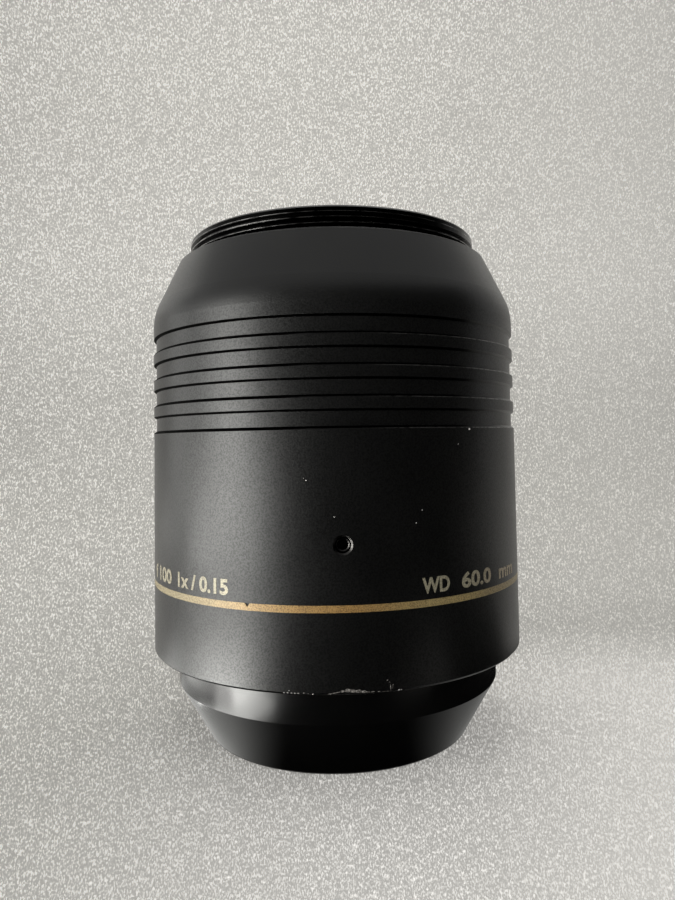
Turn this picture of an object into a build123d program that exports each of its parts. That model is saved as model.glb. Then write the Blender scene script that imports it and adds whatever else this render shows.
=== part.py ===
from build123d import *
from math import copysign, cos, radians, sin, sqrt
import os

# Microscope objective of the large single-objective stereo kind. It stands nose down: the
# optical axis is Z, the front rim of the nose is at z = 0 and the mount thread points up.
# All sizes are in millimetres. A painted sleeve covers a turned lens barrel, which carries
# the mount thread, four lens groups and, screwed into its lower end, the nose.

# Fits
turned_fit = 0.1  # radial gap between turned pieces that slide together
thread_fit = 0.1  # radial gap between a screwed piece and its bore
lens_fit = 0.1  # radial gap around a lens in its bore
seat_gap = 0.02  # gap between a curved lens face and the edge that it rests on
cement_film = 0.02  # cement between the two elements of a doublet

# Outer sleeve
sleeve_r = 35.0
sleeve_wall = 2.6
sleeve_length = 72.56  # lower end to seat shoulder
sleeve_chamfer = 0.4
cone_length = 10.55
cone_blend_r = 10.0
collar_length = 10.85  # the thick upper end, bored to pass the threaded boss

# Grip grooves, counted from the lowest
groove_count = 4
groove_width = 3.02  # at the sleeve's surface
groove_pitch = 4.87
groove_depth = 0.5
groove_slope = 0.38  # height of each sloping side
groove_height = 41.4  # middle of the lowest groove above the sleeve's lower end

# Coloured band, filled into a shallow groove
band_width = 1.12
band_depth = 0.3
band_sink = 0.02  # how far the fill stays below the sleeve's surface
band_height = 12.73  # middle of the band above the sleeve's lower end

# Mount thread and seat shoulder, left plain at the thread's major radius
thread_r = 28.0
thread_length = 4.2
thread_chamfer = 0.4
thread_relief_width = 0.8  # runout groove, its middle level with the shoulder
thread_relief_depth = 0.7
shoulder_width = 2.0

# Nose
nose_cone_length = 10.12
nose_taper = 5.84  # how much the cone narrows in radius down to the front rim
nose_rim_wall = 2.36
nose_chamfer = 0.3
ring_seat_length = 6.17  # plain ring that a ring light clamps on
ring_seat_step = 1.8  # ring seat inside the lens barrel's radius
nose_shoulder = 1.5  # width of the shoulder that meets the lens barrel
spigot_length = 7.4
spigot_wall = 4.3
lens_land = 3.0  # land between the front doublet and the field lens

# Lens barrel
barrel_recess = 0.3  # its lower face above the sleeve's lower end
barrel_chamfer = 0.5
pilot_length = 32.0  # lower land that fits the sleeve
upper_pilot_length = 8.0
relief_depth = 2.5
lower_bore_depth = 27.4
cell_seat_width = 4.0
middle_bore_depth = 14.0
seat_land = 2.0
light_bore_step = 3.5  # glare relief inside the lower bore's radius
rear_land = 3.0  # solid land under the threaded boss
boss_wall = 2.8

# Lens centring cell
cell_play = 0.3
cell_wall = 3.4
cell_lip = 2.5
cell_rim = 0.5
clamp_ring_width = 3.4
clamp_ring_height = 3.0

# Set screws that centre the cell, reached through the sleeve
screw_count = 3
screw_r = 1.5
screw_fit = 0.05
screw_recess = 1.0
screw_height = 22.25  # above the sleeve's lower end
screw_azimuth = -90.0  # the first one, in degrees from +X
screw_chamfer = 0.3
socket_across_flats = 1.5
socket_depth = 1.6
cell_groove_width = 3.6
cell_groove_depth = 0.7

# Retaining rings
bore_step = 1.2  # a lens bore is this much inside its ring's threaded bore
thread_start = 0.4  # a threaded bore begins this far past the ring's inner face
ring_lap = 1.5  # how far rings and seats reach over a lens
front_ring_recess = 0.6
front_ring_height = 2.4
field_ring_height = 3.0
cell_ring_height = 2.5
middle_ring_height = 2.8
middle_spacer_length = 5.0
rear_ring_recess = 1.0
rear_ring_height = 3.6
ring_chamfer = 0.6
spanner_slot_width = 1.8
spanner_slot_depth = 1.0

# Lens faces: signed radii, positive where the face's centre lies above it
front_lower_curve = 140.0
front_cement_curve = -70.0
front_upper_curve = -160.0
field_lower_curve = 400.0
field_upper_curve = -92.0
centring_lower_curve = 110.0
centring_cement_curve = -80.0
centring_upper_curve = -300.0
middle_lower_curve = -110.0
middle_upper_curve = -75.0
rear_lower_curve = 150.0
rear_cement_curve = 85.0
rear_upper_curve = -160.0

# Lens edge thicknesses
front_crown_edge = 1.2
front_flint_edge = 5.0
field_lens_edge = 3.0
centring_crown_edge = 2.0
centring_flint_edge = 6.0
middle_lens_edge = 3.5
rear_crown_edge = 1.4
rear_flint_edge = 4.6

# Radii, from the sleeve inwards
sleeve_bore_r = sleeve_r - sleeve_wall
barrel_r = sleeve_bore_r - turned_fit
ring_seat_r = barrel_r - ring_seat_step
lower_bore_r = ring_seat_r - nose_shoulder
shoulder_r = thread_r + shoulder_width
collar_bore_r = thread_r + turned_fit

nose_rim_r = ring_seat_r - nose_taper
front_thread_r = nose_rim_r - nose_rim_wall
front_bore_r = front_thread_r - thread_fit
front_lens_r = front_bore_r - lens_fit
front_seat_r = front_lens_r - ring_lap
spigot_r = lower_bore_r - thread_fit
field_thread_r = spigot_r - spigot_wall
field_bore_r = field_thread_r - bore_step
field_lens_r = field_bore_r - lens_fit

cell_r = lower_bore_r - cell_play
cell_thread_r = cell_r - cell_wall
cell_bore_r = cell_thread_r - bore_step
cell_lens_r = cell_bore_r - lens_fit
cell_seat_r = cell_lens_r - ring_lap

middle_bore_r = lower_bore_r - cell_seat_width
middle_lens_r = middle_bore_r - lens_fit
middle_seat_r = middle_lens_r - ring_lap
light_bore_r = lower_bore_r - light_bore_step
rear_thread_r = thread_r - boss_wall
rear_bore_r = rear_thread_r - bore_step
rear_lens_r = rear_bore_r - lens_fit
rear_seat_r = rear_lens_r - ring_lap

# Heights of the turned pieces
sleeve_z = nose_cone_length + ring_seat_length
shoulder_z = sleeve_z + sleeve_length
cone_z = shoulder_z - cone_length
collar_z = shoulder_z - collar_length
top_z = shoulder_z + thread_length
barrel_z = sleeve_z + barrel_recess
cell_seat_z = barrel_z + lower_bore_depth
middle_seat_z = cell_seat_z + middle_bore_depth
screw_z = sleeve_z + screw_height
band_z = sleeve_z + band_height


def sag(curve, r):
    """Height of a spherical face at radius r above the point where it crosses the axis."""
    return curve - copysign(sqrt(curve**2 - r**2), curve)


# Front doublet and field lens, stacked up from the front retaining ring
front_ring_top_z = front_ring_recess + front_ring_height
front_lower_z = front_ring_top_z + seat_gap - sag(front_lower_curve, front_seat_r)
front_cement_z = (
    front_lower_z
    + sag(front_lower_curve, front_lens_r)
    + front_crown_edge
    - sag(front_cement_curve, front_lens_r)
)
front_upper_z = (
    front_cement_z
    + cement_film
    + sag(front_cement_curve, front_lens_r)
    + front_flint_edge
    - sag(front_upper_curve, front_lens_r)
)
front_seat_z = front_upper_z + sag(front_upper_curve, front_seat_r) + seat_gap
field_seat_z = front_seat_z + lens_land
field_lower_z = field_seat_z + seat_gap - sag(field_lower_curve, front_seat_r)
field_upper_z = (
    field_lower_z
    + sag(field_lower_curve, field_lens_r)
    + field_lens_edge
    - sag(field_upper_curve, field_lens_r)
)
field_ring_r = field_lens_r - ring_lap
field_ring_z = field_upper_z + sag(field_upper_curve, field_ring_r) + seat_gap

# Centring doublet, hung from the lip of its cell
cell_lip_z = cell_seat_z - cell_lip
centring_upper_z = cell_lip_z - seat_gap - sag(centring_upper_curve, cell_seat_r)
centring_cement_z = (
    centring_upper_z
    + sag(centring_upper_curve, cell_lens_r)
    - centring_flint_edge
    - sag(centring_cement_curve, cell_lens_r)
)
centring_lower_z = (
    centring_cement_z
    - cement_film
    + sag(centring_cement_curve, cell_lens_r)
    - centring_crown_edge
    - sag(centring_lower_curve, cell_lens_r)
)
cell_ring_top_z = centring_lower_z + sag(centring_lower_curve, cell_seat_r) - seat_gap
cell_bottom_z = cell_ring_top_z - cell_ring_height - cell_rim

# Middle lens, hung from its shoulder in the lens barrel
middle_upper_z = middle_seat_z - seat_gap - sag(middle_upper_curve, middle_seat_r)
middle_rim_z = middle_upper_z + sag(middle_upper_curve, middle_lens_r) - middle_lens_edge
middle_lower_z = middle_rim_z - sag(middle_lower_curve, middle_seat_r)
middle_ring_top_z = middle_rim_z - middle_spacer_length

# Rear doublet, stacked down from the rear retaining ring
rear_ring_top_z = top_z - rear_ring_recess
rear_ring_z = rear_ring_top_z - rear_ring_height
rear_upper_z = rear_ring_z - seat_gap - sag(rear_upper_curve, rear_seat_r)
rear_cement_z = (
    rear_upper_z
    + sag(rear_upper_curve, rear_lens_r)
    - rear_crown_edge
    - sag(rear_cement_curve, rear_lens_r)
)
rear_lower_z = (
    rear_cement_z
    - cement_film
    + sag(rear_cement_curve, rear_lens_r)
    - rear_flint_edge
    - sag(rear_lower_curve, rear_lens_r)
)
rear_seat_z = rear_lower_z + sag(rear_lower_curve, rear_seat_r) - seat_gap

# Planes of the set screws: origin on the groove of the cell, normal pointing outwards
cell_groove_r = cell_r - cell_groove_depth
screw_tip_r = cell_groove_r + seat_gap
screw_length = sleeve_r - screw_recess - screw_tip_r
screw_planes = []
for step in range(screw_count):
    angle = radians(screw_azimuth + step * 360 / screw_count)
    outwards = Vector(cos(angle), sin(angle), 0)
    tip = outwards * screw_tip_r + Vector(0, 0, screw_z)
    screw_planes.append(Plane(origin=tip, z_dir=outwards))
with BuildSketch(*screw_planes) as screw_holes:
    Circle(screw_r + screw_fit)


def lens_element(edge_r, lower_z, lower_curve, upper_z, upper_curve, lower_face_r=None):
    """Lens between two spherical faces. Below lower_face_r its underside is polished, and
    outside that radius it has a flat bevel."""
    face_r = lower_face_r or edge_r
    with BuildPart() as element:
        with BuildSketch(Plane.XZ):
            with BuildLine():
                lower = ThreePointArc(
                    (0, lower_z),
                    (face_r / 2, lower_z + sag(lower_curve, face_r / 2)),
                    (face_r, lower_z + sag(lower_curve, face_r)),
                )
                upper = ThreePointArc(
                    (edge_r, upper_z + sag(upper_curve, edge_r)),
                    (edge_r / 2, upper_z + sag(upper_curve, edge_r / 2)),
                    (0, upper_z),
                )
                if face_r < edge_r:
                    bevel = Line(lower @ 1, (edge_r, (lower @ 1).Y))
                    Line(bevel @ 1, upper @ 0)
                else:
                    Line(lower @ 1, upper @ 0)
                Line(upper @ 1, lower @ 0)
            make_face()
        revolve(axis=Axis.Z)
    return element.part


def spanner_ring(outer_r, inner_r, bottom_z, height, slots_up):
    """Threaded ring with two spanner slots in one face, above or below, and a chamfered
    edge round the opening on that side."""
    with BuildPart() as ring:
        with BuildSketch(Plane.XY.offset(bottom_z)):
            Circle(outer_r)
            Circle(inner_r, mode=Mode.SUBTRACT)
        extrude(amount=height)
        rims = ring.edges().filter_by(GeomType.CIRCLE).group_by(Axis.Z)[-1 if slots_up else 0]
        chamfer(rims.sort_by(SortBy.RADIUS)[0], length=ring_chamfer)
        with BuildSketch(Plane.XY.offset(bottom_z + height if slots_up else bottom_z)):
            Rectangle(2 * outer_r, spanner_slot_width)
        extrude(
            amount=-spanner_slot_depth if slots_up else spanner_slot_depth,
            mode=Mode.SUBTRACT,
        )
    return ring.part


# Outer sleeve: one section turned about the axis, then drilled for the set screws
groove_places = [
    (sleeve_r, sleeve_z + groove_height + step * groove_pitch) for step in range(groove_count)
]
with BuildPart() as outer_sleeve:
    with BuildSketch(Plane.XZ) as section:
        with BuildLine():
            Polyline(
                (sleeve_bore_r, sleeve_z),
                (sleeve_r, sleeve_z),
                (sleeve_r, cone_z),
                (shoulder_r, shoulder_z),
                (collar_bore_r, shoulder_z),
                (collar_bore_r, collar_z),
                (sleeve_bore_r, collar_z),
                close=True,
            )
        make_face()
        fillet(section.vertices().sort_by_distance((sleeve_r, cone_z))[0], cone_blend_r)
        chamfer(section.vertices().sort_by_distance((sleeve_r, sleeve_z))[0], sleeve_chamfer)
        chamfer(section.vertices().sort_by_distance((shoulder_r, shoulder_z))[0], sleeve_chamfer)
        with Locations(*groove_places):
            Polygon(
                (0, -groove_width / 2),
                (0, groove_width / 2),
                (-groove_depth, groove_width / 2 - groove_slope),
                (-groove_depth, groove_slope - groove_width / 2),
                align=(Align.NONE, Align.NONE),
                mode=Mode.SUBTRACT,
            )
        with Locations((sleeve_r, band_z)):
            Rectangle(2 * band_depth, band_width, mode=Mode.SUBTRACT)
    revolve(axis=Axis.Z)
    extrude(screw_holes.sketch, amount=sleeve_r, mode=Mode.SUBTRACT)

# Gold band: paint filling the shallow groove above the nose end
with BuildPart() as gold_band:
    with BuildSketch(Plane.XY.offset(band_z - band_width / 2)):
        Circle(sleeve_r - band_sink)
        Circle(sleeve_r - band_depth, mode=Mode.SUBTRACT)
    extrude(amount=band_width)

# Lens barrel: pilots outside, stepped lens bores inside, threaded boss on top
rear_thread_z = rear_ring_z - thread_start
with BuildPart() as lens_barrel:
    with BuildSketch(Plane.XZ) as section:
        with BuildLine():
            Polyline(
                (lower_bore_r, barrel_z),
                (barrel_r, barrel_z),
                (barrel_r, barrel_z + pilot_length),
                (barrel_r - relief_depth, barrel_z + pilot_length),
                (barrel_r - relief_depth, collar_z - upper_pilot_length),
                (barrel_r, collar_z - upper_pilot_length),
                (barrel_r, collar_z),
                (thread_r, collar_z),
                (thread_r, top_z),
                (rear_thread_r, top_z),
                (rear_thread_r, rear_thread_z),
                (rear_bore_r, rear_thread_z),
                (rear_bore_r, rear_seat_z),
                (rear_seat_r, rear_seat_z),
                (rear_seat_r, collar_z - rear_land),
                (light_bore_r, collar_z - rear_land),
                (light_bore_r, middle_seat_z + seat_land),
                (middle_seat_r, middle_seat_z + seat_land),
                (middle_seat_r, middle_seat_z),
                (middle_bore_r, middle_seat_z),
                (middle_bore_r, cell_seat_z),
                (lower_bore_r, cell_seat_z),
                close=True,
            )
        make_face()
        chamfer(section.vertices().sort_by_distance((barrel_r, barrel_z))[0], barrel_chamfer)
        chamfer(section.vertices().sort_by_distance((thread_r, top_z))[0], thread_chamfer)
        with Locations((thread_r, shoulder_z)):
            Rectangle(2 * thread_relief_depth, thread_relief_width, mode=Mode.SUBTRACT)
    revolve(axis=Axis.Z)
    extrude(screw_holes.sketch, amount=sleeve_r, mode=Mode.SUBTRACT)

# Nose ring: front cone, plain ring for a ring light and the spigot that screws into the barrel
field_thread_z = field_ring_z - thread_start
with BuildPart() as nose_ring:
    with BuildSketch(Plane.XZ) as section:
        with BuildLine():
            Polyline(
                (front_thread_r, 0),
                (nose_rim_r, 0),
                (ring_seat_r, nose_cone_length),
                (ring_seat_r, barrel_z),
                (spigot_r, barrel_z),
                (spigot_r, barrel_z + spigot_length),
                (field_thread_r, barrel_z + spigot_length),
                (field_thread_r, field_thread_z),
                (field_bore_r, field_thread_z),
                (field_bore_r, field_seat_z),
                (front_seat_r, field_seat_z),
                (front_seat_r, front_seat_z),
                (front_bore_r, front_seat_z),
                (front_bore_r, front_ring_top_z + thread_start),
                (front_thread_r, front_ring_top_z + thread_start),
                close=True,
            )
        make_face()
        for corner in ((front_thread_r, 0), (nose_rim_r, 0)):
            chamfer(section.vertices().sort_by_distance(corner)[0], nose_chamfer)
    revolve(axis=Axis.Z)

# Front group
front_retaining_ring = spanner_ring(
    front_thread_r - thread_fit, front_seat_r, front_ring_recess, front_ring_height, False
)
front_crown = lens_element(
    front_lens_r, front_lower_z, front_lower_curve, front_cement_z, front_cement_curve
)
front_flint = lens_element(
    front_lens_r,
    front_cement_z + cement_film,
    front_cement_curve,
    front_upper_z,
    front_upper_curve,
)
field_lens = lens_element(
    field_lens_r, field_lower_z, field_lower_curve, field_upper_z, field_upper_curve
)
field_retaining_ring = spanner_ring(
    field_thread_r - thread_fit, field_ring_r, field_ring_z, field_ring_height, True
)

# Centring cell: lip at the top, groove for the set screws outside, threaded lower end
with BuildPart() as centring_cell:
    with BuildSketch(Plane.XZ) as section:
        with BuildLine():
            Polyline(
                (cell_thread_r, cell_bottom_z),
                (cell_r, cell_bottom_z),
                (cell_r, cell_seat_z),
                (cell_seat_r, cell_seat_z),
                (cell_seat_r, cell_lip_z),
                (cell_bore_r, cell_lip_z),
                (cell_bore_r, cell_ring_top_z + thread_start),
                (cell_thread_r, cell_ring_top_z + thread_start),
                close=True,
            )
        make_face()
        with Locations((cell_r, screw_z)):
            Rectangle(2 * cell_groove_depth, cell_groove_width, mode=Mode.SUBTRACT)
    revolve(axis=Axis.Z)

centring_flint = lens_element(
    cell_lens_r,
    centring_cement_z,
    centring_cement_curve,
    centring_upper_z,
    centring_upper_curve,
)
centring_crown = lens_element(
    cell_lens_r,
    centring_lower_z,
    centring_lower_curve,
    centring_cement_z - cement_film,
    centring_cement_curve,
)
cell_retaining_ring = spanner_ring(
    cell_thread_r - thread_fit,
    cell_seat_r,
    cell_ring_top_z - cell_ring_height,
    cell_ring_height,
    False,
)
cell_clamp_ring = spanner_ring(
    lower_bore_r - thread_fit,
    lower_bore_r - thread_fit - clamp_ring_width,
    cell_bottom_z - clamp_ring_height,
    clamp_ring_height,
    False,
)

# Middle lens with its tubular spacer and ring
middle_lens = lens_element(
    middle_lens_r,
    middle_lower_z,
    middle_lower_curve,
    middle_upper_z,
    middle_upper_curve,
    lower_face_r=middle_seat_r,
)
with BuildPart() as middle_spacer:
    with BuildSketch(Plane.XY.offset(middle_ring_top_z)):
        Circle(middle_lens_r)
        Circle(middle_seat_r, mode=Mode.SUBTRACT)
    extrude(amount=middle_spacer_length)
middle_retaining_ring = spanner_ring(
    middle_bore_r - thread_fit,
    middle_seat_r,
    middle_ring_top_z - middle_ring_height,
    middle_ring_height,
    False,
)

# Rear doublet in the threaded boss
rear_flint = lens_element(
    rear_lens_r,
    rear_lower_z,
    rear_lower_curve,
    rear_cement_z - cement_film,
    rear_cement_curve,
)
rear_crown = lens_element(
    rear_lens_r, rear_cement_z, rear_cement_curve, rear_upper_z, rear_upper_curve
)
rear_retaining_ring = spanner_ring(
    rear_thread_r - thread_fit, rear_seat_r, rear_ring_z, rear_ring_height, True
)

# Set screws with a hexagon socket, points on the cell, heads sunk below the sleeve
with BuildPart() as set_screws:
    with BuildSketch(*screw_planes):
        Circle(screw_r)
    extrude(amount=screw_length)
    chamfer(set_screws.edges().filter_by(GeomType.CIRCLE), length=screw_chamfer)
    with BuildSketch(*[plane.offset(screw_length) for plane in screw_planes]):
        RegularPolygon(socket_across_flats / 2, side_count=6, major_radius=False)
    extrude(amount=-socket_depth, mode=Mode.SUBTRACT)

pieces = {
    "outer_sleeve": outer_sleeve.part,
    "gold_band": gold_band.part,
    "lens_barrel": lens_barrel.part,
    "nose_ring": nose_ring.part,
    "front_retaining_ring": front_retaining_ring,
    "front_crown": front_crown,
    "front_flint": front_flint,
    "field_lens": field_lens,
    "field_retaining_ring": field_retaining_ring,
    "centring_cell": centring_cell.part,
    "centring_crown": centring_crown,
    "centring_flint": centring_flint,
    "cell_retaining_ring": cell_retaining_ring,
    "cell_clamp_ring": cell_clamp_ring,
    "middle_lens": middle_lens,
    "middle_spacer": middle_spacer.part,
    "middle_retaining_ring": middle_retaining_ring,
    "rear_flint": rear_flint,
    "rear_crown": rear_crown,
    "rear_retaining_ring": rear_retaining_ring,
    "set_screws": set_screws.part,
}

os.makedirs("parts", exist_ok=True)
for name, part in pieces.items():
    part.label = name
    export_step(part, f"parts/{name}.step")
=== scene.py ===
import math

import bmesh
import bpy
from mathutils import Matrix, Vector, noise


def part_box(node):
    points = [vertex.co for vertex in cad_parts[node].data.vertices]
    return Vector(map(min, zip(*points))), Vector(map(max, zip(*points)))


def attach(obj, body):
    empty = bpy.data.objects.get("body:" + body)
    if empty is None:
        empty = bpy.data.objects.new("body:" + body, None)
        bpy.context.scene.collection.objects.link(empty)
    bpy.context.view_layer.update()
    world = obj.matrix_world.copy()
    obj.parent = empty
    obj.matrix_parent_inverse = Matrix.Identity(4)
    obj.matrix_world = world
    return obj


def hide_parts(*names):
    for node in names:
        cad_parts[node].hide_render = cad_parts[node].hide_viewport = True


# The looks of the microscope objective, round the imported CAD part. Lengths are in metres, or in mm
# where a comment says so. Angles round the axis are in degrees from the front (-Y), positive
# towards +X.
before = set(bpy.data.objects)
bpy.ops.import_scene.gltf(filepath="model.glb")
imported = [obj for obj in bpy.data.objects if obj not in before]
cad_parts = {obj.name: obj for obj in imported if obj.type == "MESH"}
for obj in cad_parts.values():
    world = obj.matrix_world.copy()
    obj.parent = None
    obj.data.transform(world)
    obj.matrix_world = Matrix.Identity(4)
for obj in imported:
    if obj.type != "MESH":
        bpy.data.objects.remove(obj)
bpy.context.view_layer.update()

MM = 0.001

sleeve_low, sleeve_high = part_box("outer_sleeve")
band_low, band_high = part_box("gold_band")
sleeve_r = sleeve_high.x
band_r = band_high.x
top_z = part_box("lens_barrel")[1].z
shoulder_z = sleeve_high.z

# Mount thread
thread_r = 28.0 * MM
thread_pitch = 1.0 * MM
thread_depth = 0.6 * MM
thread_crest = 0.10 * MM
thread_root = 0.12 * MM
crest_chamfer = 0.06 * MM
thread_end_angle = -5.0
lead_in_length = 1.0 * MM
lead_in_r = 27.92 * MM
lead_in_chamfer = 0.3 * MM
relief_top_z = shoulder_z + 0.4 * MM

# Grip grooves of the sleeve
groove_low_z = 56.18 * MM  # lower edge of the lowest one
groove_pitch = 4.87 * MM
groove_depth = 0.5 * MM
groove_width = 3.02 * MM
groove_count = 4
groove_high_z = groove_low_z + (groove_count - 1) * groove_pitch + groove_width
cone_low_z = 75.0 * MM

# Paint of the sleeve, with painted shade and painted highlights. Pairs of x say where a share is 0 and
# where it is 1
paint_grain = 0.26 * MM
paint_pit = 0.28 * MM
pit_share = 0.36
slope_shade_x = (25.5 * MM, 18 * MM)  # painted shade on the grooves' slopes
window_x = (2 * MM, -10 * MM)  # side that faces the window, where shade is painted below the grooves and on the lower chamfer
# the grooves' lower edges are worn, and shown only on this side as a painted highlight
groove_edge_highlight_x = (2 * MM, 14 * MM)
pale_edge_highlight_x = (18 * MM, 27 * MM)  # edges worn to metal, painted paler towards +X as a highlight

# Rims round the set screws and their sockets: distance from the screw's axis, and depth, in mm
screw_z = 38.54 * MM
screw_angles = (0.0, 120.0, 240.0)
HOLE_RIM = ((1.565, 0.05), (1.52, 0.05), (1.26, 0.21), (1.26, 0.45), (1.565, 0.45))
SOCKET_RIM = ((0.86, 1.02), (0.86, 0.995), (1.02, 0.90), (1.10, 1.02))

# Specks and crumbs on the sleeve: angle, z, width and height in mm, and lean in degrees
sleeve_chamfer = 0.4 * MM
speck_proud = 0.7  # share of the narrower side
crumb_proud = 0.25
lump_sunk = 0.06 * MM
lump_wobble = 0.35
lump_wobble_pace = 1.7
PALE_SPECKS = (
    (37.15, 55.85, 0.32, 0.32, 0),
    (32.80, 53.43, 0.13, 0.13, 0),
    (-8.95, 48.35, 0.22, 0.17, 20),
    (-9.60, 48.70, 0.10, 0.08, 0),
    (-2.03, 42.79, 0.14, 0.12, 0),
    (19.00, 41.41, 0.14, 0.14, 0),
    (20.80, 43.38, 0.13, 0.13, 0),
    (-15.30, 16.55, 0.20, 0.22, 0),
    (-14.34, 16.56, 0.20, 0.22, 0),
    (-13.90, 16.95, 0.13, 0.13, 0),
    (-13.35, 16.56, 0.30, 0.16, 5),
    (-12.50, 16.55, 0.34, 0.14, -4),
    (-11.60, 16.57, 0.28, 0.15, 0),
    (-10.23, 16.66, 0.16, 0.16, 0),
    (-9.16, 16.55, 0.12, 0.12, 0),
    (-7.98, 16.46, 0.22, 0.18, 0),
    (13.60, 16.52, 0.40, 0.20, 0),
    (14.15, 16.50, 0.24, 0.16, 0),
)
BROWN_CRUMBS = (
    (11.33, 17.02, 0.12, 1.10, 4),
    (10.50, 18.16, 0.32, 0.12, 35),
    (11.10, 17.84, 0.30, 0.11, -30),
    (11.90, 17.20, 0.10, 0.70, -6),
    (-3.70, 16.54, 0.80, 0.18, 8),
    (-2.70, 16.66, 0.70, 0.17, 12),
    (-1.75, 16.80, 0.65, 0.16, 14),
    (-0.70, 16.95, 0.60, 0.30, 10),
    (0.60, 17.05, 0.85, 0.50, 0),
    (1.90, 16.92, 1.00, 0.54, -10),
    (3.30, 16.86, 0.95, 0.50, 6),
    (4.60, 16.72, 0.90, 0.40, 0),
    (5.70, 16.66, 0.60, 0.26, 0),
    (6.80, 16.62, 0.60, 0.22, 0),
    (8.40, 16.58, 0.50, 0.18, 0),
    (9.60, 16.52, 0.44, 0.15, 0),
    (10.70, 16.50, 0.32, 0.13, 0),
)

# Lettering
letter_height = 2.35 * MM
letter_base_z = 30.6 * MM
letter_paint_z = (29.8 * MM, 30.2 * MM)  # where the band's paint ends and the letters' paint starts
letter_proud = 0.03 * MM
letter_sunk = 0.06 * MM
letter_slice = 0.4 * MM
letter_boldness = 0.03
# Text, and the angles where it starts and ends
WORDS = (
    ("f 100", -69.0, -54.5),
    ("1x / 0.15", -50.7, -30.7),
    ("WD", 20.4, 28.8),
    ("60.0", 33.0, 45.3),
    ("mm", 49.9, 60.5),
)

# Camera, placed to see the part as the photograph does
camera_place = Vector((-3.975, -142.837, 54.162)) * MM
camera_right = Vector((0.998946, -0.042851, -0.016440))
camera_up = Vector((0.014420, -0.047024, 0.998790))
camera_lens = 28.45
camera_sensor = 36.0
camera_shift = (-0.009, -0.0463)

# Floor and backdrop
floor_half_width = 2.0
floor_front_y = -1.6
bend_y = 0.40
bend_r = 0.60
bend_steps = 32
wall_z = 1.6

# Foam pattern of the floor, fixed in the world. It is laid out in directions from one point, at the
# place of the photograph's camera, so that its cells look even from there
foam_centre = Vector((-4.0, -143.0, 54.0)) * MM
foam_cell = Vector((0.23, 0.35, 0.44)) * MM  # size along x, y and z at foam_reach
foam_reach = 0.143
foam_contrast_x = (0.10, 0.45)  # x of the direction, where the contrast starts and ends to fall
foam_low_contrast = 0.7
foam_shade = (0.40, 0.32)  # darkening between the cells, at full and at low contrast

# Glow of the floor, seen by the camera and in gloss and glass alone: in the cells, round a place at
# the front right, and high up on the backdrop
cell_glow = 0.34
lift_place = (0.055, -0.050)
lift_r = (0.055, 0.12)
lift_glow = 0.33
wall_glow_z = (0.02, 0.35)
wall_glow = 0.15

# Black flag that only reflections see
flag_r = 0.55
flag_angles = (-42.0, 95.0)
flag_height = 0.45
flag_lift = 0.001
flag_near_x = (-0.07, 0.30)
flag_near_y = (-0.062, -0.085)

# Black cards at the nose that only reflections see: from and to angle, inner and outer radius in mm
FOOT_CARDS = ((-115, 125, 24.9, 75), (50, 98, 75, 200))
foot_card_z = 0.4 * MM
# Their glow: the angles where it starts and where it is full, and its radiance
left_glow_angles = (-22.0, -54.0)
left_glow_radiance = 0.85
right_glow_angles = (24.0, 62.0)
right_glow_radiance = 0.32
right_glow_r = 40 * MM
right_glow_fade = 2 * MM

world_colour = (0.40, 0.40, 0.395)
DAYLIGHT = (1.0, 1.0, 0.96)


def around(angle, r, z):
    """Point at an angle in degrees from the front, a radius and a height."""
    a = math.radians(angle)
    return Vector((r * math.sin(a), -r * math.cos(a), z))


# Lamps that lie face up: name, x, y and z of the middle, radiance, width and length, in mm
FLOOR_LAMPS = (
    ("window_floor", -260, -150, 3, 23.0, 90, 300),
    ("window_floor_front", -212, -212, 3, 5.0, 90, 300),
    ("window_floor_side", -290, 78, 3, 2.2, 90, 300),
    ("foot_wide", -70, -50, 3.0, 7.2, 40, 60),
    ("foot_wide_middle", -65, -45, 3.2, 3.1, 30, 30),
    ("foot_side", -70, -5, 3.0, 2.3, 40, 30),
    ("foot_bright", -40, -40, 3.0, 11.0, 20, 20),
    ("foot_bright_side", -50, -35, 3.4, 8.5, 20, 10),
    ("foot_bright_front", -45, -45, 3.6, 7.4, 10, 10),
    ("foot_left", -35, -25, 3.0, 9.0, 10, 10),
    ("foot_left_back", -35, -15, 3.0, 9.5, 10, 10),
    ("foot_left_side", -45, -25, 3.0, 4.2, 10, 10),
)
OBJECT_MIDDLE = (0, 0, 45)
# Other lamps: name, place, target, radiance, width and height, in mm
LAMPS = (
    ("window", around(-60, 600, 100), OBJECT_MIDDLE, 7.3, 212, 200),
    ("window_middle", around(-75, 600, 100), OBJECT_MIDDLE, 4.0, 212, 200),
    ("window_side", around(-105, 600, 100), OBJECT_MIDDLE, 1.75, 212, 200),
    ("left_fill", around(-120, 600, 360), OBJECT_MIDDLE, 0.6, 212, 260),
    ("back_left_fill", around(-140, 600, 360), OBJECT_MIDDLE, 0.35, 212, 260),
    ("back_right_fill", around(135, 600, 360), OBJECT_MIDDLE, 0.25, 212, 260),
    ("backdrop_lamp", (0, 300, 1000), (0, 1100, 250), 1.35, 800, 400),
    ("top_lamp", (0, 300, 850), OBJECT_MIDDLE, 0.9, 600, 600),
)


def new_object(name, mesh, material=None):
    """Object in the scene with this mesh, all in one material."""
    made = bpy.data.objects.new(name, mesh)
    bpy.context.scene.collection.objects.link(made)
    if material:
        mesh.materials.clear()
        mesh.materials.append(material)
    return made


def object_from(name, points, faces, material=None):
    mesh = bpy.data.meshes.new(name)
    mesh.from_pydata(points, [], faces)
    mesh.update()
    return new_object(name, mesh, material)


def tube_faces(rows, count, first=0, closed=False):
    """Faces between rows of points that are rings. A closed tube's last row meets its first."""
    faces = []
    for s in range(rows if closed else rows - 1):
        a, b = first + s * count, first + (s + 1) % rows * count
        faces += [(a + k, a + (k + 1) % count, b + (k + 1) % count, b + k) for k in range(count)]
    return faces


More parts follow.
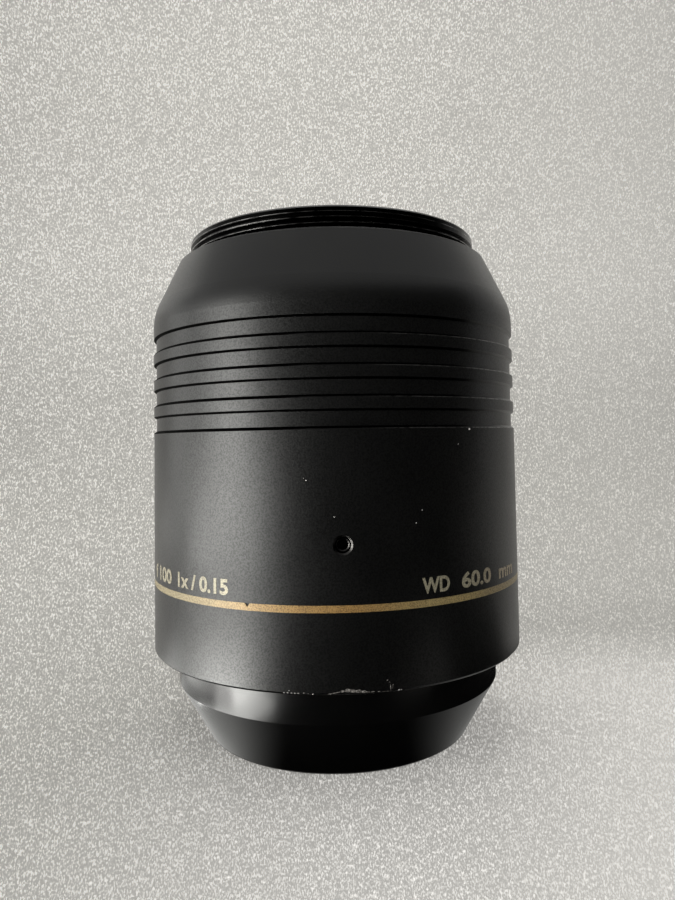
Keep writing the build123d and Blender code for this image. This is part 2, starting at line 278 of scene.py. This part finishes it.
def sheet_faces(rows, count, first=0):
    """Faces between rows of points that are open lines."""
    faces = []
    for s in range(rows - 1):
        a, b = first + s * count, first + (s + 1) * count
        faces += [(a + k, a + k + 1, b + k + 1, b + k) for k in range(count - 1)]
    return faces


def smooth(mesh, angle=30):
    """Smooth shading with sharp edges above an angle in degrees."""
    if "custom_normal" in mesh.attributes:
        mesh.attributes.remove(mesh.attributes["custom_normal"])
    mesh.polygons.foreach_set("use_smooth", [True] * len(mesh.polygons))
    mesh.set_sharp_from_angle(angle=math.radians(angle))


def normals_outward(mesh):
    """Joins double points and turns every face of a closed mesh outwards."""
    work = bmesh.new()
    work.from_mesh(mesh)
    bmesh.ops.remove_doubles(work, verts=work.verts, dist=1e-7)
    bmesh.ops.recalc_face_normals(work, faces=work.faces)
    work.to_mesh(mesh)
    work.free()


class Material:
    """One principled material, with short calls to add nodes to it."""

    def __init__(self, name, sockets):
        self.made = bpy.data.materials.new(name)
        self.made.use_nodes = True
        self.tree = self.made.node_tree
        self.shader = self.tree.nodes["Principled BSDF"]
        for socket, value in sockets.items():
            self.shader.inputs[socket].default_value = value
        self.place = self.tree.nodes.new("ShaderNodeTexCoord").outputs["Object"]

    def put(self, socket, value):
        if isinstance(value, bpy.types.NodeSocket):
            self.tree.links.new(value, socket)
        else:
            socket.default_value = value

    def add(self, kind, inputs, **settings):
        """Adds a node and gives its first output. Inputs are given by socket name or number."""
        made = self.tree.nodes.new(kind)
        for key, value in settings.items():
            setattr(made, key, value)
        for socket, value in inputs.items():
            self.put(made.inputs[socket], value)
        return made.outputs[0]

    def maths(self, operation, a, b=0.0, c=0.0):
        return self.add("ShaderNodeMath", {0: a, 1: b, 2: c}, operation=operation)

    def vector_maths(self, operation, a, b=(0.0, 0.0, 0.0)):
        return self.add("ShaderNodeVectorMath", {0: a, 1: b}, operation=operation)

    def noise(self, size, detail=2.0, place=None, roughness=0.5):
        """Noise whose lumps are about this many metres across."""
        inputs = {"Vector": place or self.place, "Scale": 1 / size, "Detail": detail}
        return self.add("ShaderNodeTexNoise", {**inputs, "Roughness": roughness})

    def axes(self, vector=None):
        """The x, y and z of a vector, or else of the place."""
        return self.add("ShaderNodeSeparateXYZ", {0: vector or self.place}).node.outputs

    def distance(self, a, b):
        return self.maths("SQRT", self.maths("MULTIPLY_ADD", a, a, self.maths("MULTIPLY", b, b)))

    def near(self, value, middle, half_width):
        """1 where the value is at the middle, falling to 0 at the half width."""
        off = self.maths("ABSOLUTE", self.maths("SUBTRACT", value, middle))
        return self.ramp(off, half_width / 2, half_width, 1.0, 0.0)

    def chain(self, operation, values):
        """One maths operation over any number of values."""
        result = values[0]
        for value in values[1:]:
            result = self.maths(operation, result, value)
        return result

    def product(self, *values):
        return self.chain("MULTIPLY", values)

    def total(self, *values):
        return self.chain("ADD", values)

    def largest(self, *values):
        return self.chain("MAXIMUM", values)

    def ramp(self, value, low, high, to_low=0.0, to_high=1.0):
        """Value from low..high turned into to_low..to_high, smoothly and clamped."""
        inputs = {0: value, 1: low, 2: high, 3: to_low, 4: to_high}
        return self.add("ShaderNodeMapRange", inputs, interpolation_type="SMOOTHSTEP")

    def blend(self, share, first, second):
        """Colour between first and second."""
        mix = self.tree.nodes.new("ShaderNodeMix")
        mix.data_type = "RGBA"
        self.put(mix.inputs[0], share)
        self.put(mix.inputs[6], first)
        self.put(mix.inputs[7], second)
        return mix.outputs[2]

    def bump(self, height, distance, strength=1.0):
        inputs = {"Height": height, "Distance": distance, "Strength": strength}
        return self.add("ShaderNodeBump", inputs)

    def light_path(self, *kinds):
        """1 for rays of the kinds named."""
        path = self.add("ShaderNodeLightPath", {}).node
        return self.total(*(path.outputs[kind] for kind in kinds))

    def finish(self, **values):
        """Links values to the shader's sockets; names use _ for a space."""
        for name, value in values.items():
            self.put(self.shader.inputs[name.replace("_", " ")], value)
        return self.made


def grey(level, warmth=0.0):
    """Grey of a linear level, with more red and less blue for warmth."""
    return (level * (1 + warmth), level, level * (1 - warmth), 1.0)


def grip_grooves(m, z):
    """1 over the height of the grip grooves, and the height over the nearest one's lower edge."""
    low, high = groove_low_z - 0.2 * MM, groove_high_z + 0.2 * MM
    grooved = m.product(m.ramp(z, low, low + 0.1 * MM), m.ramp(z, high, high - 0.1 * MM))
    over_low = m.maths("SUBTRACT", z, groove_low_z)
    return grooved, m.maths("WRAP", over_low, groove_pitch / 2, -groove_pitch / 2)


def painted_cut_shade(m):
    """Painted shade: the grooves' slopes, short of the far +X side, and, on the window's side, the rim
    below each and the lower chamfer.
    """
    x, y, z = m.axes()
    r = m.distance(x, y)
    grooved, step = grip_grooves(m, z)
    floor_r = sleeve_r - groove_depth
    slope_shade = m.product(
        grooved,
        m.ramp(r, floor_r + 0.003 * MM, floor_r + 0.02 * MM),
        m.ramp(r, sleeve_r - 0.02 * MM, sleeve_r - 0.035 * MM),
        m.ramp(x, *slope_shade_x),
    )
    window_side = m.ramp(x, *window_x)
    shade_below_groove = m.product(grooved, m.near(step, -0.02 * MM, 0.16 * MM), window_side)
    chamfer_z = sleeve_low.z + sleeve_chamfer
    chamfer_r = sleeve_r - sleeve_chamfer
    chamfer = m.product(
        m.ramp(z, chamfer_z, chamfer_z - 0.04 * MM),
        m.ramp(r, chamfer_r - 0.05 * MM, chamfer_r),
        window_side,
    )
    return m.largest(slope_shade, shade_below_groove, chamfer)


def worn_highlit_edges(m):
    """The scuffed lower edges of the grooves and of the sleeve, partly wear and partly painted highlight:
    the grooves' edges show only towards +X.
    """
    x, _, z = m.axes()
    grooved, step = grip_grooves(m, z)
    groove_edge_wear_and_highlight = m.product(grooved, m.near(step, -0.04 * MM, 0.09 * MM), m.ramp(x, *groove_edge_highlight_x))
    low_edge = m.ramp(z, sleeve_low.z + 0.12 * MM, sleeve_low.z + 0.04 * MM)
    scuffs = m.ramp(m.noise(0.8 * MM, detail=3.0), 0.30, 0.60)
    return m.product(m.largest(groove_edge_wear_and_highlight, low_edge), scuffs)


def matte_paint(name):
    """Black matte paint, finely pitted below the cone, with shade painted into the cuts, and worn edges
    painted paler towards +X as a highlight.
    """
    m = Material(name, {"Specular IOR Level": 0.58})
    x, _, z = m.axes()
    grain = m.noise(paint_grain, detail=2.0, roughness=0.6)
    pitted = m.ramp(z, cone_low_z + 3 * MM, cone_low_z, 0.0, pit_share)
    pits = m.product(pitted, m.ramp(m.noise(paint_pit, detail=2.0, roughness=0.6), 0.38, 0.66))
    cloud = m.noise(9 * MM, detail=3.0)
    # shade painted into the grooves' cuts and the lower chamfer: near black and without gloss
    cut_shade = painted_cut_shade(m)
    # worn edges show metal, painted paler towards +X as a highlight
    edge_metal_and_highlight = m.blend(m.ramp(x, *pale_edge_highlight_x), grey(0.06, 0.02), grey(0.22, 0.02))
    colour = m.blend(worn_highlit_edges(m), m.blend(cloud, grey(0.003), grey(0.006)), edge_metal_and_highlight)
    rough = m.total(m.ramp(grain, 0.35, 0.65, 0.31, 0.38), m.ramp(cloud, 0.3, 0.7, 0, 0.02))
    return m.finish(
        Base_Color=m.blend(cut_shade, colour, grey(0.0005)),
        Metallic=m.largest(pits, cut_shade),
        Roughness=m.largest(m.product(cut_shade, 0.9), rough),
        Normal=m.bump(grain, 0.02 * MM, 0.7),
    )


def turned_metal(name, level, rough, line_depth):
    """Black anodised metal with fine lines left by turning."""
    m = Material(name, {"Specular IOR Level": 0.4})
    x, y, z = m.axes()
    along = m.add("ShaderNodeCombineXYZ", {0: m.total(m.distance(x, y), z)})
    lines = m.noise(0.12 * MM, detail=2.0, place=along)
    cloud = m.noise(6 * MM, detail=3.0)
    return m.finish(
        Base_Color=m.blend(cloud, grey(level), grey(level * 1.6)),
        Roughness=m.ramp(cloud, 0.3, 0.7, rough * 0.9, rough * 1.1),
        Normal=m.bump(lines, line_depth),
    )


def thread_metal(name):
    """Dull black metal whose thread crests are worn to bare metal."""
    m = Material(name, {"Metallic": 1.0})
    x, y, z = m.axes()
    scuffs = m.ramp(m.noise(2.5 * MM, detail=4.0), 0.30, 0.60)
    crest = m.ramp(m.distance(x, y), thread_r - 0.05 * MM, thread_r - 0.015 * MM)
    land_z = top_z - lead_in_length
    first_turn = m.near(z, land_z - 0.04 * MM, 0.10 * MM)
    below = m.ramp(z, land_z - 0.85 * MM, land_z - 0.95 * MM)
    worn = m.product(crest, m.largest(first_turn, below), scuffs)
    cloud = m.noise(4 * MM, detail=3.0)
    return m.finish(
        Base_Color=m.blend(worn, m.blend(cloud, grey(0.002), grey(0.004)), grey(0.25, 0.02)),
        Roughness=m.ramp(cloud, 0.3, 0.7, 0.25, 0.30),
        Normal=m.bump(m.noise(0.15 * MM), 0.002 * MM),
    )


def gold_paint(name):
    """Gold paint filled into engraving, with a fine metallic speckle, its colour painted to change across
    the front with the light: dark on the window side, then orange, then pale olive.
    """
    m = Material(name, {"Metallic": 0.25, "Specular IOR Level": 0.5})
    x, _, z = m.axes()
    speckle = m.noise(0.20 * MM, detail=3.0, roughness=0.6)
    cloud = m.noise(1.5 * MM, detail=2.0)
    # Painted light: across the front the gold turns from dark on the window side to orange and then pale
    # olive, and the letters from dark to pale
    across = m.total(x, m.product(cloud, 6 * MM))
    brown = m.ramp(across, -26 * MM, 6 * MM)
    olive = m.ramp(across, 4 * MM, 18 * MM)
    far = m.ramp(x, 19 * MM, 26 * MM)
    window_side_gold = m.blend(cloud, (0.175, 0.145, 0.083, 1), (0.225, 0.190, 0.115, 1))
    orange = m.blend(cloud, (0.45, 0.26, 0.082, 1), (0.52, 0.31, 0.109, 1))
    far_side_olive_gold = m.blend(cloud, (0.35, 0.27, 0.135, 1), (0.40, 0.32, 0.17, 1))
    away_side_gold = m.blend(far, (0.55, 0.42, 0.185, 1), far_side_olive_gold)
    band = m.blend(olive, m.blend(brown, window_side_gold, orange), away_side_gold)
    far_letters = m.blend(far, (0.52, 0.48, 0.345, 1), (0.42, 0.35, 0.25, 1))
    letters = m.blend(brown, (0.225, 0.205, 0.150, 1), far_letters)
    pale = m.blend(m.ramp(z, *letter_paint_z), band, letters)
    dark = m.blend(0.55, pale, (0.03, 0.02, 0.01, 1))
    return m.finish(
        Base_Color=m.blend(m.ramp(speckle, 0.36, 0.58), dark, pale),
        Roughness=m.ramp(speckle, 0.3, 0.7, 0.5, 0.36),
        Normal=m.bump(speckle, 0.04 * MM, 0.8),
    )


def coated_glass(name, ior, film):
    """Clear optical glass with an interference coating, whose film's thickness is in nanometres."""
    sockets = {
        "Transmission Weight": 1.0,
        "IOR": ior,
        "Thin Film Thickness": film,
        "Thin Film IOR": 1.38,
    }
    m = Material(name, sockets)
    haze = m.noise(7 * MM, detail=3.0)
    return m.finish(
        Base_Color=m.blend(haze, (0.97, 0.99, 0.98, 1), (1, 1, 1, 1)),
        Roughness=m.ramp(haze, 0.35, 0.75, 0.0, 0.015),
    )


def steel(name, dark, light):
    """Blackened steel with a grain, painted lighter towards +X as a highlight."""
    m = Material(name, {"Metallic": 1.0})
    x = m.axes()[0]
    grain = m.noise(0.2 * MM, detail=3.0)
    painted_highlight_share = m.ramp(x, -0.4 * MM, 1.0 * MM, 0.25, 1.0)
    return m.finish(
        Base_Color=m.blend(m.product(painted_highlight_share, grain), grey(dark), grey(light, 0.04)),
        Roughness=m.ramp(grain, 0.3, 0.7, 0.28, 0.40),
        Normal=m.bump(grain, 0.01 * MM),
    )


def dust(name, light, dark):
    """Dull dirt, blotched between two colours."""
    m = Material(name, {"Specular IOR Level": 0.2})
    lumps = m.noise(0.25 * MM, detail=3.0)
    return m.finish(
        Base_Color=m.blend(m.ramp(lumps, 0.35, 0.65), dark, light),
        Roughness=m.ramp(lumps, 0.3, 0.7, 0.6, 0.9),
        Normal=m.bump(lumps, 0.05 * MM),
    )


gold = gold_paint("gold_fill")
# rims round the set screws: worn metal, painted lighter towards +X as a highlight
rim_steel_worn_and_highlit = steel("screw_rim_steel_worn_and_highlit", 0.01, 0.18)
thread_finish = thread_metal("worn_thread_metal")
pale_dust = dust("pale_dust", grey(0.85, 0.02), grey(0.60, 0.05))
brown_residue = dust("brown_residue", grey(0.28, 0.06), grey(0.05, 0.10))

SLOT_MATERIALS = {
    "black_paint": matte_paint("matte_black_paint"),
    "gold_paint": gold,
    "black_anodised": turned_metal("black_anodised_metal", 0.002, 0.22, 0.003 * MM),
    "crown_glass": coated_glass("coated_crown_glass", 1.517, 420.0),
    "flint_glass": coated_glass("coated_flint_glass", 1.62, 380.0),
    "blackened_steel": steel("blackened_screw_steel", 0.01, 0.03),
}


def dress_nodes():
    """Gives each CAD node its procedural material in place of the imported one."""
    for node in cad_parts.values():
        for place in node.material_slots:
            place.material = SLOT_MATERIALS[place.material.name]


def ring_cutter(name, inner_r, low_z, high_z, chamfer):
    """Closed ring round the axis whose inner edge has a chamfer at the top."""
    steps = 240
    outer_r = thread_r + 2 * MM
    outline = (
        (inner_r, low_z),
        (inner_r, high_z - chamfer),
        (inner_r - 2 * chamfer, high_z + chamfer),
        (outer_r, high_z + chamfer),
        (outer_r, low_z),
    )
    points = [around(360 * s / steps, r, z) for s in range(steps) for r, z in outline]
    return object_from(name, points, tube_faces(steps, len(outline), closed=True))


def thread_cutter(name, end_angle):
    """Coil of the thread's groove section, running out at its upper end."""
    per_turn = 180
    low_z = relief_top_z - 1.2 * thread_pitch
    high_z = top_z - lead_in_length - 0.45 * thread_pitch
    total = round((high_z - low_z) / thread_pitch * per_turn)
    run_out = per_turn // 6
    over = 0.03 * MM
    half_mouth = (thread_pitch - thread_crest) / 2
    half_section = (
        (thread_r + over, half_mouth + over),
        (thread_r - crest_chamfer, half_mouth - crest_chamfer),
        (thread_r - thread_depth, thread_root / 2),
    )
    section = [(r, -dz) for r, dz in half_section] + [(r, dz) for r, dz in half_section[::-1]]
    count = len(section)
    points = []
    for s in range(total + 1):
        rise = max(0, s - (total - run_out)) / run_out * (thread_depth + over)
        z = low_z + thread_pitch * s / per_turn
        angle = end_angle - 360 * (total - s) / per_turn
        points += [around(angle, r + rise, z + dz) for r, dz in section]
    faces = tube_faces(total + 1, count)
    faces += [tuple(range(count))[::-1], tuple(count * total + k for k in range(count))]
    return object_from(name, points, faces)


def cut(piece, cutter):
    """Takes the cutter's volume out of the piece's mesh and deletes the cutter."""
    normals_outward(cutter.data)
    boolean = piece.modifiers.new("cut", "BOOLEAN")
    boolean.operation = "DIFFERENCE"
    boolean.solver = "EXACT"
    boolean.object = cutter
    bpy.context.view_layer.update()
    depsgraph = bpy.context.evaluated_depsgraph_get()
    mesh = bpy.data.meshes.new_from_object(piece.evaluated_get(depsgraph))
    piece.modifiers.clear()
    piece.data = mesh
    bpy.data.objects.remove(cutter)


def build_threaded_barrel():
    """The lens barrel with its mount thread cut, in place of the plain CAD boss."""
    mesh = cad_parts["lens_barrel"].data.copy()
    mesh.name = "threaded_lens_barrel"
    normals_outward(mesh)
    barrel = new_object("threaded_lens_barrel", mesh, thread_finish)
    lead_in_z = top_z - lead_in_length
    cut(barrel, ring_cutter("lead_in_cutter", lead_in_r, lead_in_z, top_z, lead_in_chamfer))
    cut(barrel, thread_cutter("thread_cutter", thread_end_angle))
    smooth(barrel.data)
    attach(barrel, "root")
    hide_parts("lens_barrel")


def build_gold_band():
    """Painted band whose edges waver a little, with the chip on its upper edge."""
    steps = 1440
    chip_angle = -25.0
    chip_half_width = 0.75
    chip_depth = 0.62 * MM
    edge_waver = 0.035 * MM
    waver_length = 0.25 * MM
    inner_r = band_r - 0.25 * MM
    points = []
    for s in range(steps):
        angle = 360 * s / steps - 180
        wave = [noise.noise(around(angle, band_r, shift) / waver_length) for shift in (0, MM)]
        chip = max(0.0, 1 - abs(angle - chip_angle) / chip_half_width) * chip_depth
        low = band_low.z + max(0.0, wave[0]) * edge_waver
        high = band_high.z - max(0.0, wave[1]) * edge_waver - chip
        section = ((inner_r, low), (band_r, low), (band_r, high), (inner_r, high))
        points += [around(angle, r, z) for r, z in section]
    band = object_from("painted_gold_band", points, tube_faces(steps, 4, closed=True), gold)
    normals_outward(band.data)
    smooth(band.data)
    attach(band, "root")
    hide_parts("gold_band")


def flat_word(text):
    """Closed flat letters of a text as a bmesh, lower left corner at the origin."""
    curve = bpy.data.curves.new("word", "FONT")
    curve.body = text
    curve.offset = letter_boldness
    curve.extrude = 0.5
    curve.resolution_u = 6
    flat = bpy.data.objects.new("word", curve)
    bpy.context.scene.collection.objects.link(flat)
    bpy.context.view_layer.update()
    depsgraph = bpy.context.evaluated_depsgraph_get()
    mesh = bpy.data.meshes.new_from_object(flat.evaluated_get(depsgraph))
    bpy.data.objects.remove(flat)
    work = bmesh.new()
    work.from_mesh(mesh)
    bpy.data.meshes.remove(mesh)
    bmesh.ops.remove_doubles(work, verts=work.verts, dist=1e-5)
    return work


def slice_word(work, left, width, length):
    """Cuts a flat word, once per letter_slice of its wrapped length, so that it can bend."""
    for number in range(1, math.ceil(length / letter_slice)):
        x = left + width * number * letter_slice / length
        geometry = work.verts[:] + work.edges[:] + work.faces[:]
        bmesh.ops.bisect_plane(work, geom=geometry, plane_co=(x, 0, 0), plane_no=(1, 0, 0))


def build_lettering():
    """Plain data lettering, each word wrapped onto the sleeve between two angles."""
    capital = flat_word("H")
    capital_height = max(v.co.y for v in capital.verts)
    capital.free()
    for number, (text, start, end) in enumerate(WORDS):
        work = flat_word(text)
        left = min(v.co.x for v in work.verts)
        width = max(v.co.x for v in work.verts) - left
        slice_word(work, left, width, math.radians(end - start) * sleeve_r)
        for v in work.verts:
            angle = start + (end - start) * (v.co.x - left) / width
            r = sleeve_r + (letter_proud if v.co.z > 0 else -letter_sunk)
            v.co = around(angle, r, letter_base_z + v.co.y / capital_height * letter_height)
        bmesh.ops.recalc_face_normals(work, faces=work.faces)
        name = f"lettering_{number + 1}"
        mesh = bpy.data.meshes.new(name)
        work.to_mesh(mesh)
        work.free()
        smooth(mesh)
        letters = new_object(name, mesh, gold)
        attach(letters, "root")


def build_screw_rims(name, section):
    """Closed ring of one section round each of the set screws."""
    steps = 72
    points, faces = [], []
    for angle in screw_angles:
        faces += tube_faces(steps, len(section), first=len(points), closed=True)
        outwards, sideways = around(angle, 1, 0), around(angle + 90, 1, 0)
        for s in range(steps):
            turn = 2 * math.pi * s / steps
            for rho, depth in section:
                across = sideways * rho * math.cos(turn) + Vector((0, 0, rho * math.sin(turn)))
                points.append(outwards * (sleeve_r - depth * MM) + across * MM)
                points[-1].z += screw_z
    rims = object_from(name, points, faces, rim_steel_worn_and_highlit)
    normals_outward(rims.data)
    smooth(rims.data)
    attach(rims, "root")


def lump_point(lump, number, share, turn, rise):
    """Point of a lump at a share of its half width, an angle round its middle and a height on the paint."""
    angle, z, width, height, lean = lump
    at = Vector((math.cos(turn), math.sin(turn), number))
    wobble = 1 + lump_wobble * noise.noise(at * lump_wobble_pace)
    across = share * wobble * width / 2 * math.cos(turn)
    up = share * wobble * height / 2 * math.sin(turn)
    tilt = math.radians(lean)
    side = (across * math.cos(tilt) - up * math.sin(tilt)) * MM
    at_z = (z + across * math.sin(tilt) + up * math.cos(tilt)) * MM
    under = max(0.0, sleeve_low.z + sleeve_chamfer - at_z)
    at_angle = angle + math.degrees(side / sleeve_r)
    box_r = sleeve_r / math.cos(math.radians(at_angle))  # where the front of the CAD part's box is
    return around(at_angle, min(sleeve_r - under + rise, box_r), at_z)


def build_lumps(name, lumps, proud, material):
    """Small irregular lumps on the sleeve and its lower chamfer, each with a rim inside the paint."""
    rings, spokes = 4, 12
    turns = [2 * math.pi * spoke / spokes for spoke in range(spokes)]
    points, faces = [], []
    for number, lump in enumerate(lumps):
        faces += tube_faces(rings + 2, spokes, first=len(points))
        peak = proud * min(lump[2], lump[3]) * MM
        for ring in range(rings + 2):
            share = min(ring, rings) / rings
            rise = peak * (1 - share**2) if ring <= rings else -lump_sunk
            points += [lump_point(lump, number, share, turn, rise) for turn in turns]
        faces.append(tuple(range(len(points) - spokes, len(points))))
    made = object_from(name, points, faces, material)
    normals_outward(made.data)
    smooth(made.data, 60)
    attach(made, "root")


def foam_material():
    """Pale foam, with a glow that camera, glossy and transmission rays alone see."""
    m = Material("pale_floor", {"Specular IOR Level": 0.2, "Roughness": 0.85})
    x, y, z = m.axes()
    direction = m.vector_maths("NORMALIZE", m.vector_maths("SUBTRACT", m.place, foam_centre))
    cells_per_unit = tuple(foam_reach / size for size in foam_cell)
    pattern = m.noise(1.0, place=m.vector_maths("MULTIPLY", direction, cells_per_unit), roughness=0.6)
    contrast = m.ramp(m.axes(direction)[0], *foam_contrast_x, 1.0, foam_low_contrast)
    cells = m.product(contrast, m.ramp(pattern, 0.43, 0.74))
    pale = m.blend(m.noise(0.15), (0.95, 0.925, 0.885, 1), (0.98, 0.96, 0.915, 1))
    shade = m.blend(m.ramp(contrast, 1.0, foam_low_contrast, *foam_shade), pale, grey(0.0))
    foam = m.blend(cells, shade, pale)
    seen = m.light_path("Is Camera Ray", "Is Glossy Ray", "Is Transmission Ray")
    off = m.distance(m.maths("SUBTRACT", x, lift_place[0]), m.maths("SUBTRACT", y, lift_place[1]))
    lift = m.ramp(off, *lift_r, lift_glow, 0.0)
    high = m.ramp(z, *wall_glow_z, 0.0, wall_glow)
    strength = m.product(seen, m.total(lift, m.product(cells, cell_glow), high))
    return m.finish(Base_Color=foam, Emission_Color=foam, Emission_Strength=strength)


def build_floor():
    """Pale floor that sweeps up into a backdrop behind the part."""
    line = [(floor_front_y, 0.0)]
    for s in range(bend_steps + 1):
        a = math.pi / 2 * s / bend_steps
        line.append((bend_y + bend_r * math.sin(a), bend_r * (1 - math.cos(a))))
    line.append((bend_y + bend_r, wall_z))
    points = [(x, y, z) for y, z in line for x in (-floor_half_width, floor_half_width)]
    floor = object_from("floor", points, sheet_faces(len(line), 2), foam_material())
    smooth(floor.data)


def reflection_card(name, points, faces, material):
    """Card that reflections alone see: it is in no picture, casts no shadow and lights nothing matte."""
    card = object_from(name, points, faces, material)
    card.visible_camera = False
    card.visible_diffuse = False
    card.visible_shadow = False


def build_dark_card():
    """Black flag that lies on the floor in front of the part and stands up behind the camera."""
    steps = 16
    points = []
    for s in range(steps + 1):
        angle = flag_angles[0] + (flag_angles[1] - flag_angles[0]) * s / steps
        far = around(angle, flag_r, flag_lift)
        x = flag_near_x[0] + (flag_near_x[1] - flag_near_x[0]) * s / steps
        y = flag_near_y[0] + (flag_near_y[1] - flag_near_y[0]) * s / steps
        points += [Vector((x, y, flag_lift)), far, far + Vector((0, 0, flag_height))]
    m = Material("black_card", {"Roughness": 0.9, "Specular IOR Level": 0.1})
    black = m.finish(Base_Color=m.blend(m.noise(0.1), grey(0.02), grey(0.03)))
    reflection_card("dark_card", points, sheet_faces(steps + 1, 3), black)


def foot_card_material():
    """Black, with a soft glow to the left of the nose and, close to it, to the right."""
    m = Material("foot_card", {"Roughness": 1.0, "Specular IOR Level": 0.0})
    x, y, _ = m.axes()
    angle = m.maths("ARCTAN2", x, m.product(y, -1.0))
    left_glow = m.ramp(angle, *map(math.radians, left_glow_angles), 0.0, left_glow_radiance)
    right_glow = m.product(
        m.ramp(angle, *map(math.radians, right_glow_angles), 0.0, right_glow_radiance),
        m.ramp(m.distance(x, y), right_glow_r + right_glow_fade, right_glow_r - right_glow_fade),
    )
    return m.finish(
        Base_Color=m.blend(m.noise(0.01), grey(0.01), grey(0.02)),
        Emission_Color=(*DAYLIGHT, 1),
        Emission_Strength=m.total(left_glow, right_glow),
    )


def build_foot_card():
    """Black cards just above the floor round the nose and out to the right."""
    steps = 96
    points, faces = [], []
    for start, end, inner_r, outer_r in FOOT_CARDS:
        faces += sheet_faces(steps + 1, 2, first=len(points))
        for s in range(steps + 1):
            angle = start + (end - start) * s / steps
            points += [around(angle, r * MM, foot_card_z) for r in (inner_r, outer_r)]
    reflection_card("foot_card", points, faces, foot_card_material())


def area_light(name, place, target, radiance, width, height):
    """Rectangular lamp in mm, aimed at a target, as bright as a radiance and hidden from the camera."""
    width, height = width * MM, height * MM
    data = bpy.data.lights.new(name, "AREA")
    data.shape = "RECTANGLE"
    data.size = width
    data.size_y = height
    data.energy = radiance * math.pi * width * height
    data.color = DAYLIGHT
    light = bpy.data.objects.new(name, data)
    bpy.context.scene.collection.objects.link(light)
    light.location = Vector(place) * MM
    light.rotation_mode = "QUATERNION"
    light.rotation_quaternion = (Vector(place) - Vector(target)).to_track_quat("Z", "Y")
    light.visible_camera = False


def build_lights():
    """A low window on the left that reaches down to the floor, and soft lamps above and behind."""
    for name, x, y, z, radiance, width, length in FLOOR_LAMPS:
        area_light(name, (x, y, z), (x, y, z + 1000), radiance, width, length)
    for lamp in LAMPS:
        area_light(*lamp)


def build_world():
    """Even, near neutral light from all round."""
    world = bpy.data.worlds.new("studio")
    bpy.context.scene.world = world
    world.use_nodes = True
    world.node_tree.nodes["Background"].inputs["Color"].default_value = (*world_colour, 1)


def build_camera():
    """Camera whose place and axes come from a fit to the photographed outline."""
    data = bpy.data.cameras.new("camera")
    data.lens = camera_lens
    data.sensor_width = camera_sensor
    data.shift_x, data.shift_y = camera_shift
    data.clip_start = 0.01
    camera = bpy.data.objects.new("camera", data)
    bpy.context.scene.collection.objects.link(camera)
    right = camera_right.normalized()
    up = (camera_up - right * camera_up.dot(right)).normalized()
    turn = Matrix((right, up, right.cross(up))).transposed()
    camera.matrix_world = Matrix.Translation(camera_place) @ turn.to_4x4()
    bpy.context.scene.camera = camera


dress_nodes()
build_threaded_barrel()
build_gold_band()
build_lettering()
build_screw_rims("screw_hole_rims", HOLE_RIM)
build_screw_rims("screw_socket_rims", SOCKET_RIM)
build_lumps("pale_specks", PALE_SPECKS, speck_proud, pale_dust)
build_lumps("brown_crumbs", BROWN_CRUMBS, crumb_proud, brown_residue)
build_floor()
build_dark_card()
build_foot_card()
build_lights()
build_world()
build_camera()
bpy.context.scene.view_settings.view_transform = "Standard"
